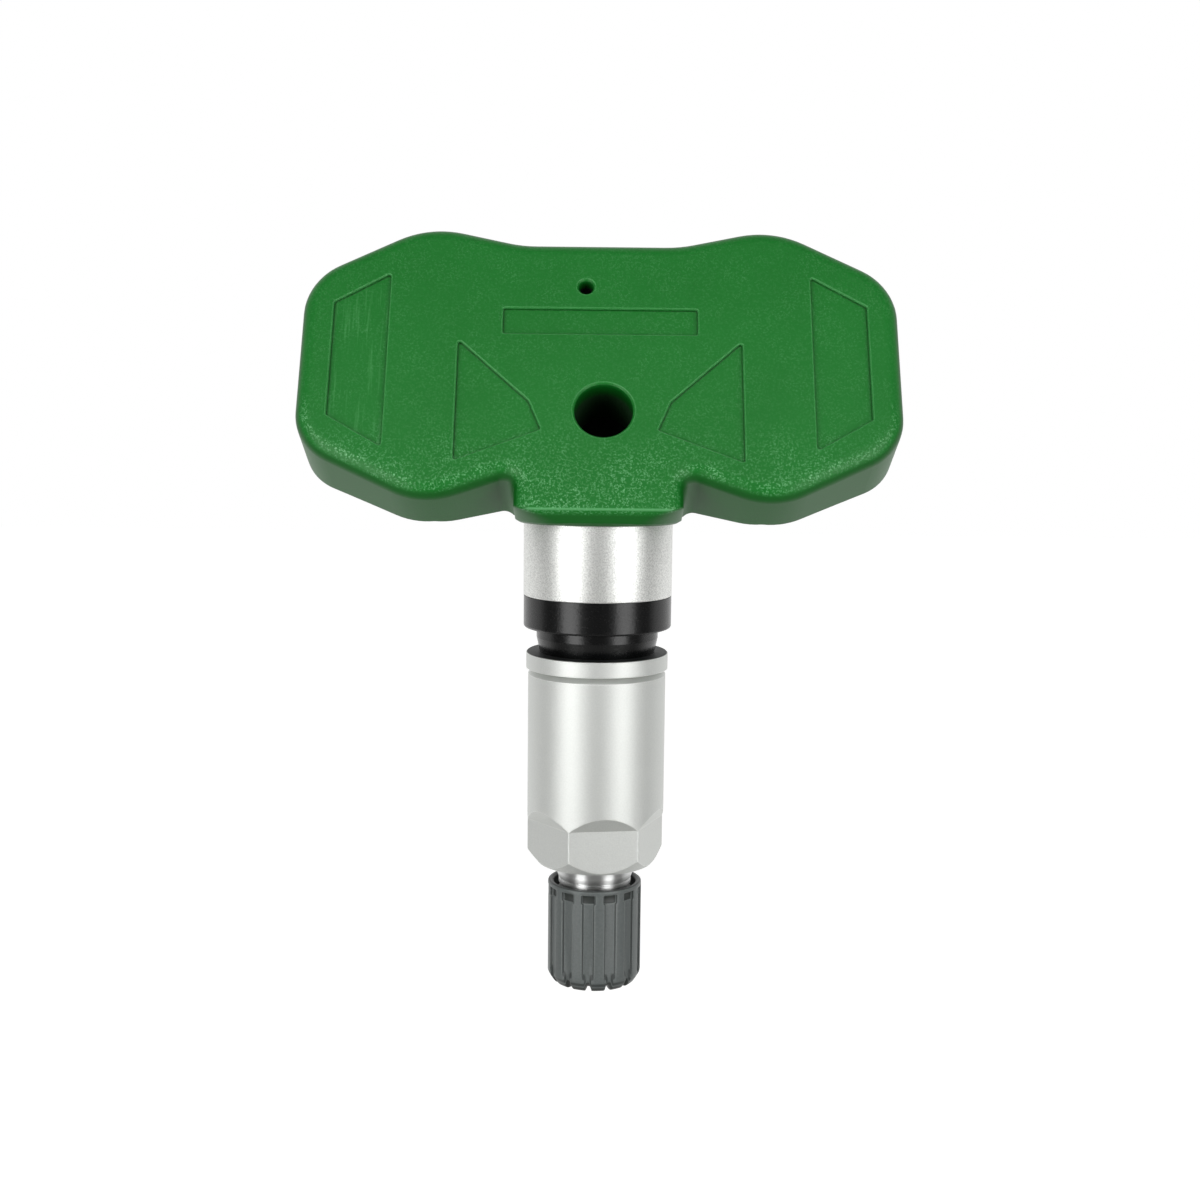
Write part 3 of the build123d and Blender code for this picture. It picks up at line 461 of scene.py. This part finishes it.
def grained_nylon():
    # Grained glass-filled nylon: mid green, with a fine wormy stipple whose crests carry painted
    # glints, most of all low on the face and where it starts to round off. A painted glint line runs
    # along the top edge of the neck's end. The rounded edges and the end of the neck are smooth, and
    # everything from 0.4 mm behind the face on is painted darker as shade. The recesses have a painted
    # highlight on their rim and a painted shadow line at their foot, the air well is painted black as
    # shade with depth, and the recess on its left is scuffed lengthwise.
    # The stipple is about 0.1 mm in reality and drawn at 0.15 mm, or it wouldn't show.
    material, tree, place = new_material("grained_nylon")
    moved = add_node(tree, "ShaderNodeVectorMath", {
        "operation": "SUBTRACT", 1: [value * MM for value in FACE_ORIGIN]}, {0: place})["Vector"]
    # From here on, the three axes run across, up and out of the housing's face
    to_face = {"rotation_type": "X_AXIS", "Angle": FACE_TILT - pi / 2}
    flat = add_node(tree, "ShaderNodeVectorRotate", to_face, {"Vector": moved})["Vector"]
    axes = add_node(tree, "ShaderNodeSeparateXYZ", links={0: flat})
    across, up, out = axes[0], axes[1], axes[2]
    worms = add_node(tree, "ShaderNodeTexNoise", {
        "Scale": per(0.15), "Detail": 1.0, "Distortion": 0.4}, {"Vector": place})["Fac"]
    from_middle = add_node(tree, "ShaderNodeMath", {"operation": "SUBTRACT", 1: 0.5}, {0: worms})[0]
    from_middle = add_node(tree, "ShaderNodeMath", {"operation": "ABSOLUTE"}, {0: from_middle})[0]
    crest = add_node(tree, "ShaderNodeMapRange", {
        "From Min": 0.0, "From Max": 0.08, "To Min": 1.0, "To Max": 0.0}, {"Value": from_middle})[0]
    broken = add_node(tree, "ShaderNodeTexNoise", {
        "Scale": per(0.24), "Detail": 0.0}, {"Vector": place})["Fac"]
    broken = add_node(tree, "ShaderNodeMapRange", {"From Min": 0.44, "From Max": 0.6}, {"Value": broken})[0]
    patches = add_node(tree, "ShaderNodeTexNoise", {
        "Scale": per(2.6), "Detail": 1.0}, {"Vector": place})["Fac"]
    patches = add_node(tree, "ShaderNodeMapRange", {
        "From Min": 0.38, "From Max": 0.62, "To Min": 0.45, "To Max": 1.0}, {"Value": patches})[0]
    by_height = add_node(tree, "ShaderNodeMapRange", {
        "From Min": 2.0 * MM, "From Max": 9.0 * MM, "To Min": 0.8, "To Max": 0.17}, {"Value": up})[0]
    amount = region(tree, 1.0, by_height, (out, -0.75, -0.4))
    normal = add_node(tree, "ShaderNodeNewGeometry")["Normal"]
    normal = add_node(tree, "ShaderNodeVectorRotate", to_face, {"Vector": normal})["Vector"]
    lean = add_node(tree, "ShaderNodeSeparateXYZ", links={0: normal})[2]
    leaning = add_node(tree, "ShaderNodeMapRange", {"From Min": 0.9995, "From Max": 0.97}, {"Value": lean})[0]
    upright = add_node(tree, "ShaderNodeMapRange", {"From Min": 0.72, "From Max": 0.9}, {"Value": lean})[0]
    on_shoulder = region(tree, 1.0, leaning, upright, (up, 13.0, 9.0))
    amount = add_node(tree, "ShaderNodeMath", {"operation": "MAXIMUM"}, {0: amount, 1: on_shoulder})[0]
    # Painted glints: where this mask is high, the colour turns pale green as if the crests caught light
    glints = region(tree, 1.0, crest, broken, patches, amount)

    clouds = add_node(tree, "ShaderNodeTexNoise", {
        "Scale": per(11.0), "Detail": 2.0}, {"Vector": place})["Fac"]
    shade = add_node(tree, "ShaderNodeMix", {
        "data_type": "RGBA", 6: colour("#06661A"), 7: colour("#0E7022")}, {0: clouds})[2]
    # Painted shade: darker green from 0.4 mm behind the face on, over the rounded edges, walls and neck's end
    off_face_shade = region(tree, 0.75, (out, -0.4, -0.8))
    shade = add_node(tree, "ShaderNodeMix", {
        "data_type": "RGBA", 7: colour("#044E0F")}, {0: off_face_shade, 6: shade})[2]
    # Painted highlight: a thin glint line along the top edge of the neck's end
    bevel_top_glint = region(tree, 0.42, (up, -0.16, -0.06), (up, 0.12, 0.02), (out, -0.35, -0.2))
    glints = add_node(tree, "ShaderNodeMath", {"operation": "MAXIMUM"}, {0: glints, 1: bevel_top_glint})[0]
    shade = add_node(tree, "ShaderNodeMix", {
        "data_type": "RGBA", 7: colour("#7AC286")}, {0: glints, 6: shade})[2]

    bevel, edge = softened_edge(tree, 0.17)
    # Painted highlight: a pale line on sharp edges level with the face, such as the recesses' rims
    rim_highlight = region(tree, 0.6, edge, (out, -0.24, -0.14))
    shade = add_node(tree, "ShaderNodeMix", {
        "data_type": "RGBA", 7: colour("#5FAE6B")}, {0: rim_highlight, 6: shade})[2]
    # Painted shadow: a dark line on sharp edges 0.24 to 0.5 mm behind the face, at the recesses' foot
    foot_shadow = region(tree, 0.9, edge, (out, -0.14, -0.24), (out, -0.6, -0.5))
    shade = add_node(tree, "ShaderNodeMix", {
        "data_type": "RGBA", 7: colour("#06300C")}, {0: foot_shadow, 6: shade})[2]

    stretched = add_node(tree, "ShaderNodeMapping", {"Scale": (per(0.3), per(6.0), 0)}, {"Vector": flat})[0]
    streaks = add_node(tree, "ShaderNodeTexNoise", {
        "Scale": 1.0, "Detail": 2.0}, {"Vector": stretched})["Fac"]
    streaks = add_node(tree, "ShaderNodeMapRange", {"From Min": 0.55, "From Max": 0.7}, {"Value": streaks})[0]
    (left, right), (low, high) = SCUFFED_RECESS
    scuffs = region(tree, 0.2, streaks, (across, left, left + 0.2), (across, right, right - 0.2),
                    (up, low, low + 0.2), (up, high, high - 0.2), (out, -0.05, -0.15))
    shade = add_node(tree, "ShaderNodeMix", {
        "data_type": "RGBA", 7: colour("#56A360")}, {0: scuffs, 6: shade})[2]

    from_well = add_node(tree, "ShaderNodeVectorMath", {
        "operation": "SUBTRACT", 1: (WELL_PLACE[0] * MM, WELL_PLACE[1] * MM, 0)}, {0: flat})["Vector"]
    from_well = add_node(tree, "ShaderNodeVectorMath", {
        "operation": "MULTIPLY", 1: (1, 1, 0)}, {0: from_well})["Vector"]
    from_axis = add_node(tree, "ShaderNodeVectorMath", {"operation": "LENGTH"}, {0: from_well})["Value"]
    # Painted shade: the air well's walls go near black from 0.4 mm down to its bottom
    well_shade = region(tree, 1.0, (from_axis, WELL_RADIUS + 0.15, WELL_RADIUS - 0.05),
                     (out, -0.4, -2.6), (out, -WELL_DEPTH - 0.4, -WELL_DEPTH - 0.2))
    shade = add_node(tree, "ShaderNodeMix", {
        "data_type": "RGBA", 7: colour("#010402")}, {0: well_shade, 6: shade})[2]

    rough = add_node(tree, "ShaderNodeMapRange", {"To Min": 0.42, "To Max": 0.24}, {"Value": glints})[0]
    rough = add_node(tree, "ShaderNodeMath", {"operation": "MAXIMUM"}, {0: rough, 1: well_shade})[0]
    depth = add_node(tree, "ShaderNodeMapRange", {"To Min": 0.25, "To Max": 1.0}, {"Value": amount})[0]
    relief = add_node(tree, "ShaderNodeMath", {"operation": "MULTIPLY"}, {0: worms, 1: depth})[0]
    bump = add_node(tree, "ShaderNodeBump", {"Strength": 0.8, "Distance": 0.045 * MM}, {
        "Height": relief, "Normal": bevel})[0]
    surface = add_node(tree, "ShaderNodeBsdfPrincipled", {"IOR": 1.38}, {
        "Base Color": shade, "Roughness": rough, "Normal": bump})[0]
    add_node(tree, "ShaderNodeOutputMaterial", links={"Surface": surface})
    return material


give(["housing"], grained_nylon())


# Potting: black polyurethane resin poured into the back of the housing over the electronics.
# It sets level with a slight gloss and clings a little way up the walls.
def cast_resin():
    # Cast resin: almost black, glossy and faintly wavy where it shrank as it set.
    material, tree, place = new_material("cast_resin")
    waves = add_node(tree, "ShaderNodeTexNoise", {"Scale": per(6.0), "Detail": 2.0}, {"Vector": place})["Fac"]
    shade = add_node(tree, "ShaderNodeMix", {
        "data_type": "RGBA", 6: colour("#141615"), 7: colour("#1F2220")}, {0: waves})[2]
    bump = add_node(tree, "ShaderNodeBump", {"Strength": 0.5, "Distance": 0.15 * MM}, {"Height": waves})[0]
    surface = add_node(tree, "ShaderNodeBsdfPrincipled", {"IOR": 1.55, "Roughness": 0.24}, {
        "Base Color": shade, "Normal": bump})[0]
    add_node(tree, "ShaderNodeOutputMaterial", links={"Surface": surface})
    return material


give(["potting"], cast_resin())


# Grommet: a moulded rubber flange and sleeve, pushed onto the shank against the collar.
# It is squeezed against the rim when the nut is tightened.
give(["grommet"], moulded_rubber("satin_rubber", "#020203", "#060707", grain_mm=0.2, roughness=0.24))


# Washer and nut: turned from aluminium bar and tumbled, so both have the same soft satin.
# The washer sits captive on the nut's collar; the nut screws up the stem and clamps the rim.
def satin_aluminium(name, top_face):
    # Tumbled aluminium: a pale, even satin with a very fine grain and no direction, and a painted
    # highlight on its edges. The washer's top face is painted dark, as the shade and reflection of the
    # black rubber above it.
    material, tree, place = new_material(name)
    grain = add_node(tree, "ShaderNodeTexNoise", {
        "Scale": per(0.16), "Detail": 2.0}, {"Vector": place})["Fac"]
    bevel, edge = softened_edge(tree, 0.14)
    shade = add_node(tree, "ShaderNodeMix", {
        "data_type": "RGBA", 6: colour("#D2D4D1"), 7: colour("#E2E4E1")}, {0: grain})[2]
    # Painted highlight on the edges
    shade = add_node(tree, "ShaderNodeMix", {
        "data_type": "RGBA", 7: colour("#F4F5F3")}, {0: edge, 6: shade})[2]
    if top_face:
        # Painted shade and reflection of the black rubber, on the washer's top face
        height = add_node(tree, "ShaderNodeSeparateXYZ", links={0: place})[2]
        top_shade = region(tree, 1.0, (height, top_face - 0.1, top_face - 0.03))
        shade = add_node(tree, "ShaderNodeMix", {
            "data_type": "RGBA", 7: colour("#3B3E3D")}, {0: top_shade, 6: shade})[2]
    rough = add_node(tree, "ShaderNodeMapRange", {"To Min": 0.5, "To Max": 0.6}, {"Value": grain})[0]
    bump = add_node(tree, "ShaderNodeBump", {"Strength": 0.3, "Distance": 0.03 * MM}, {
        "Height": grain, "Normal": bevel})[0]
    surface = add_node(tree, "ShaderNodeBsdfPrincipled", {"Metallic": 1.0}, {
        "Base Color": shade, "Roughness": rough, "Normal": bump})[0]
    add_node(tree, "ShaderNodeOutputMaterial", links={"Surface": surface})
    return material


give(["washer"], satin_aluminium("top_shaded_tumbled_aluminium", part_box("washer")[1].z / MM))
give(["sleeve_nut"], satin_aluminium("tumbled_aluminium", None))


# Valve cap: a screw cap moulded in grey nylon, with grip ribs all round and a rubber ring in
# its floor. It screws onto the stem's tip and keeps dirt and water out of the core.
cap_r = cap_high.x


def moulded_grey_nylon():
    # Moulded nylon: matt grey with a fine grain, and a painted highlight on the ribs' edges. Painted
    # shade darkens it down the ribs' sides and everywhere further in, such as the pockets and the mouth.
    material, tree, place = new_material("moulded_grey_nylon")
    grain = add_node(tree, "ShaderNodeTexNoise", {"Scale": per(0.2), "Detail": 2.0}, {"Vector": place})["Fac"]
    bevel, edge = softened_edge(tree, 0.16)
    shade = add_node(tree, "ShaderNodeMix", {
        "data_type": "RGBA", 6: colour("#4E5352"), 7: colour("#626766")}, {0: grain})[2]
    # Painted highlight on the ribs' edges
    shade = add_node(tree, "ShaderNodeMix", {
        "data_type": "RGBA", 7: colour("#A3A8A5")}, {0: region(tree, 0.6, edge), 6: shade})[2]
    around = add_node(tree, "ShaderNodeVectorMath", {
        "operation": "MULTIPLY", 1: (1, 1, 0)}, {0: place})["Vector"]
    radius = add_node(tree, "ShaderNodeVectorMath", {"operation": "LENGTH"}, {0: around})["Value"]
    # Painted shade down the ribs' sides
    wall_shade = region(tree, 0.8, (radius, cap_r - 0.03, cap_r - 0.08), (radius, cap_r - 0.25, cap_r - 0.2))
    shade = add_node(tree, "ShaderNodeMix", {
        "data_type": "RGBA", 7: colour("#2C302F")}, {0: wall_shade, 6: shade})[2]
    # Painted shade everywhere further in, such as the pockets and the mouth
    inner_shade = region(tree, 1.0, (radius, cap_r - 0.29, cap_r - 0.36))
    shade = add_node(tree, "ShaderNodeMix", {
        "data_type": "RGBA", 7: colour("#303432")}, {0: inner_shade, 6: shade})[2]
    rough = add_node(tree, "ShaderNodeMapRange", {"To Min": 0.3, "To Max": 0.46}, {"Value": grain})[0]
    bump = add_node(tree, "ShaderNodeBump", {"Strength": 0.35, "Distance": 0.03 * MM}, {
        "Height": grain, "Normal": bevel})[0]
    surface = add_node(tree, "ShaderNodeBsdfPrincipled", {"IOR": 1.42}, {
        "Base Color": shade, "Roughness": rough, "Normal": bump})[0]
    add_node(tree, "ShaderNodeOutputMaterial", links={"Surface": surface})
    return material


# Angles are in degrees round the cap's axis
GRIPS = 13
GRIP_PHASE = -7.4
GRIP_DEPTH = 0.25
GRIP_HALF_ANGLE = 6.9
END_HALF_ANGLE = 3.4
POCKET_DEPTH = 0.38
POCKET_HALF_ANGLE = 8.2
GRIP_EDGE = 2.0
END_EDGE = 3.4
MOUTH_RADIUS = 4.15
CAP_BORE_RADIUS = 3.93
CAP_THREAD_DEPTH = 0.4
CAP_FLOOR = 1.0
RIM_DROP = 0.85
END_DISH = 0.32
HUB_RADIUS = 0.3

cap_mouth, cap_end = cap_high.z, cap_low.z
# The rim lies a little lower than the solid's, as the photo shows, so that the neck's rings stay in view
cap_rim = cap_mouth - RIM_DROP
cap_thread = (cap_end + 1.5, cap_mouth - 2.1)
grip_step = 360 / GRIPS
# Columns, in degrees from a groove's middle, are close together at its edges and far apart elsewhere
offsets = [-grip_step / 2, -11, -9.4, -8.6, -8.0, -7.4, -6.8, -6.2, -5.6, -4.6, -3.4, -2.4, -1.2,
           0, 1.2, 2.4, 3.4, 4.6, 5.6, 6.2, 6.8, 7.4, 8.0, 8.6, 9.4, 11]
cap_angles = [radians(-90 + GRIP_PHASE + index * grip_step + offset)
              for index in range(GRIPS) for offset in offsets]

# Each row has its place on a rib, its place in a groove, and the groove's half angle
cap_rows = [
    ((HUB_RADIUS, cap_end + CAP_FLOOR), None, 0),
    ((CAP_BORE_RADIUS - 0.1, cap_end + CAP_FLOOR), None, 0),
    ((CAP_BORE_RADIUS, cap_end + CAP_FLOOR + 0.1), None, 0),
    *[((CAP_BORE_RADIUS, z), None, 0) for z in thread_heights(*cap_thread)],
    ((CAP_BORE_RADIUS + 0.02, cap_mouth - 2.05), None, 0),
    ((MOUTH_RADIUS, cap_mouth - 1.9), None, 0),
    ((MOUTH_RADIUS, cap_rim - 0.22), None, 0),
    ((MOUTH_RADIUS + 0.06, cap_rim - 0.1), None, 0),
    ((MOUTH_RADIUS + 0.18, cap_rim - 0.02), None, 0),
    ((MOUTH_RADIUS + 0.26, cap_rim), None, 0),
    ((cap_r - 0.2, cap_rim), None, 0),
    ((cap_r - 0.1, cap_rim - 0.02), None, 0),
    ((cap_r - 0.03, cap_rim - 0.08), None, 0),
    ((cap_r, cap_rim - 0.18), None, 0),
    ((cap_r, cap_mouth - 1.25), None, 0),
]
pocket_r = cap_r - POCKET_DEPTH
grip_r = cap_r - GRIP_DEPTH
# The pockets: distance below the mouth, and radius at the bottom
for drop, r in ((1.3, cap_r - 0.06), (1.34, pocket_r + 0.06), (1.42, pocket_r),
                (2.08, pocket_r), (2.14, pocket_r + 0.03), (2.18, grip_r - 0.03)):
    cap_rows.append(((cap_r, cap_mouth - drop), (r, cap_mouth - drop), POCKET_HALF_ANGLE))
# The grooves below them
for drop in (2.22, 2.3, 3.5, 6.0, 9.4):
    cap_rows.append(((cap_r, cap_mouth - drop), (grip_r, cap_mouth - drop), GRIP_HALF_ANGLE))
# The rounded end: radius and height above the end on a rib, then the same in a groove
for rib_r, rib_rise, groove_r, groove_rise in (
        (cap_r, 1.2, grip_r, 1.25),
        (cap_r - 0.04, 1.0, grip_r - 0.04, 1.08),
        (cap_r - 0.14, 0.78, grip_r - 0.14, 0.92),
        (cap_r - 0.32, 0.48, grip_r - 0.3, 0.74),
        (cap_r - 0.52, 0.2, grip_r - 0.46, 0.6),
        (cap_r - 0.68, 0.06, grip_r - 0.6, 0.5),
        (cap_r - 0.85, 0.0, grip_r - 0.75, 0.45),
        (cap_r - 1.25, 0.0, grip_r - 1.15, 0.42),
        (cap_r - 1.45, 0.06, grip_r - 1.4, 0.36),
        (cap_r - 1.6, 0.24, grip_r - 1.5, 0.34),
        (cap_r - 1.7, END_DISH, cap_r - 1.7, END_DISH)):
    cap_rows.append(((rib_r, cap_end + rib_rise), (groove_r, cap_end + groove_rise), END_HALF_ANGLE))
cap_rows.append(((cap_r - 1.85, cap_end + END_DISH), None, 0))
cap_rows.append(((HUB_RADIUS, cap_end + END_DISH), None, 0))

cap_vertices = []
for rib, groove, half_angle in cap_rows:
    for index, angle in enumerate(cap_angles):
        r, z = rib
        if groove:
            past_edge = abs(offsets[index % len(offsets)]) - half_angle
            edge = END_EDGE if half_angle == END_HALF_ANGLE else GRIP_EDGE
            share = min(max(0.5 - past_edge / edge, 0), 1)
            share = share * share * (3 - 2 * share)
            r, z = r + (groove[0] - r) * share, z + (groove[1] - z) * share
        elif r == CAP_BORE_RADIUS and cap_thread[0] < z < cap_thread[1]:
            r -= CAP_THREAD_DEPTH * thread_share(z, angle)
        cap_vertices.append(at(r, angle, z))
cap = new_piece("valve_cap_ribbed", cap_vertices, ring_faces(len(cap_rows), len(cap_angles), False),
                "valve_cap", ["valve_cap"])
cap.data.materials.append(moulded_grey_nylon())


# Studio: the part hangs over a pale floor, in a white surround, between two tall soft boxes that
# stand close beside the camera, with a wide flat one above it. Nothing but these lights the part.
def studio_floor():
    # Pale grey paper: takes the soft shadow of the part and throws little light up at it. The
    # camera sees it white, and reflections see it white behind the part, like the backdrop.
    material, tree, place = new_material("pale_paper")
    ray = add_node(tree, "ShaderNodeLightPath")
    grain = add_node(tree, "ShaderNodeTexNoise", {"Scale": per(3.0)}, {"Vector": place})["Fac"]
    shade = add_node(tree, "ShaderNodeMix", {
        "data_type": "RGBA", 6: colour("#A8A8A6"), 7: colour("#ACACAA")}, {0: grain})[2]
    behind = add_node(tree, "ShaderNodeSeparateXYZ", links={0: place})[1]
    mirrored = region(tree, 1.0, ray["Is Glossy Ray"], (behind, -30.0, 120.0))
    seen = mirrored
    for kind in ("Is Camera Ray", "Is Transmission Ray"):
        seen = add_node(tree, "ShaderNodeMath", {"operation": "MAXIMUM"}, {0: seen, 1: ray[kind]})[0]
    glow = region(tree, FLOOR_GLOW, seen)
    surface = add_node(tree, "ShaderNodeBsdfPrincipled", {
        "Roughness": 0.9, "Emission Color": (1, 1, 1, 1)}, {
        "Base Color": shade, "Emission Strength": glow})[0]
    add_node(tree, "ShaderNodeOutputMaterial", links={"Surface": surface})
    return material


# The studio's and the camera's own sizes are in metres
FLOOR_GLOW = 0.86
FLOOR_DROP = 0.09
FLOOR_HALF_SIZE = 1.5
floor_z = cad_box[0].z - FLOOR_DROP
floor_mesh = bpy.data.meshes.new("floor")
floor_mesh.from_pydata([
    (-FLOOR_HALF_SIZE, -FLOOR_HALF_SIZE, floor_z), (FLOOR_HALF_SIZE, -FLOOR_HALF_SIZE, floor_z),
    (FLOOR_HALF_SIZE, FLOOR_HALF_SIZE, floor_z), (-FLOOR_HALF_SIZE, FLOOR_HALF_SIZE, floor_z),
], [], [(0, 1, 2, 3)])
floor_mesh.materials.append(studio_floor())
floor = bpy.data.objects.new("floor", floor_mesh)
bpy.context.scene.collection.objects.link(floor)

# The surround is white to the camera. Reflections see it white behind the part and dark on the
# camera's side, and as light it is weak, so that the lamps bring out the part's form.
SURROUND = 0.34
world = bpy.data.worlds.new("studio")
world.use_nodes = True
world.node_tree.nodes.clear()
bpy.context.scene.world = world
tree = world.node_tree
ray = add_node(tree, "ShaderNodeLightPath")
seen = add_node(tree, "ShaderNodeMath", {"operation": "MAXIMUM"}, {
    0: ray["Is Camera Ray"], 1: ray["Is Transmission Ray"]})[0]
direction = add_node(tree, "ShaderNodeTexCoord")["Generated"]
behind = add_node(tree, "ShaderNodeSeparateXYZ", links={0: direction})[1]
mirrored = add_node(tree, "ShaderNodeMapRange", {
    "From Min": -0.1, "From Max": 0.8, "To Min": 0.12, "To Max": 1.0}, {"Value": behind})[0]
ambient = add_node(tree, "ShaderNodeMix", {"data_type": "FLOAT", 2: SURROUND}, {
    0: ray["Is Glossy Ray"], 3: mirrored})[0]
strength = add_node(tree, "ShaderNodeMix", {"data_type": "FLOAT", 3: 1.0}, {0: seen, 2: ambient})[0]
sky = add_node(tree, "ShaderNodeBackground", {"Color": (1, 1, 1, 1)}, {"Strength": strength})[0]
add_node(tree, "ShaderNodeOutputWorld", links={"Surface": sky})


def soft_lamp(name, azimuth, elevation, distance, width, height, watts):
    """A soft box that faces the part, at an azimuth from the camera's side towards +X."""
    data = bpy.data.lights.new(name, "AREA")
    data.shape = "RECTANGLE"
    data.size, data.size_y = width, height
    data.energy = watts
    lamp = bpy.data.objects.new(name, data)
    around, up = radians(azimuth), radians(elevation)
    away = Vector((sin(around) * cos(up), -cos(around) * cos(up), sin(up)))
    lamp.location = away * distance
    lamp.rotation_euler = away.to_track_quat("Z", "Y").to_euler()
    bpy.context.scene.collection.objects.link(lamp)


soft_lamp("lamp_left", azimuth=-42, elevation=5, distance=0.25, width=0.12, height=0.28, watts=0.42)
soft_lamp("lamp_right", azimuth=43, elevation=5, distance=0.25, width=0.12, height=0.28, watts=0.38)
soft_lamp("lamp_top", azimuth=0, elevation=48, distance=0.5, width=0.5, height=0.09, watts=0.4)


# Camera: straight in front of the air well's side and a little above the part, as near to it as
# the photo's perspective shows. Its focal length then gives the part its size in the picture.
SENSOR_MM = 36.0
PHOTO_PIXELS = 1200
FOCAL_PIXELS = 1672
CAMERA_DISTANCE = 0.1672
CAMERA_ELEVATION = radians(7.46)
CAMERA_ROLL = radians(0.6)
AIM_HEIGHT = 0.00262
AIM_PIXEL_X = 597.5
camera_data = bpy.data.cameras.new("camera")
camera_data.sensor_width = SENSOR_MM
camera_data.lens = SENSOR_MM * FOCAL_PIXELS / PHOTO_PIXELS
camera_data.shift_x = (PHOTO_PIXELS / 2 - AIM_PIXEL_X) / PHOTO_PIXELS
camera = bpy.data.objects.new("camera", camera_data)
away = Vector((0, -cos(CAMERA_ELEVATION), sin(CAMERA_ELEVATION)))
camera.location = Vector((0, 0, AIM_HEIGHT)) + away * CAMERA_DISTANCE
turn = away.to_track_quat("Z", "Y").to_euler()
turn.rotate_axis("Z", CAMERA_ROLL)
camera.rotation_euler = turn
bpy.context.scene.collection.objects.link(camera)
bpy.context.scene.camera = camera
bpy.context.scene.view_settings.view_transform = "Standard"
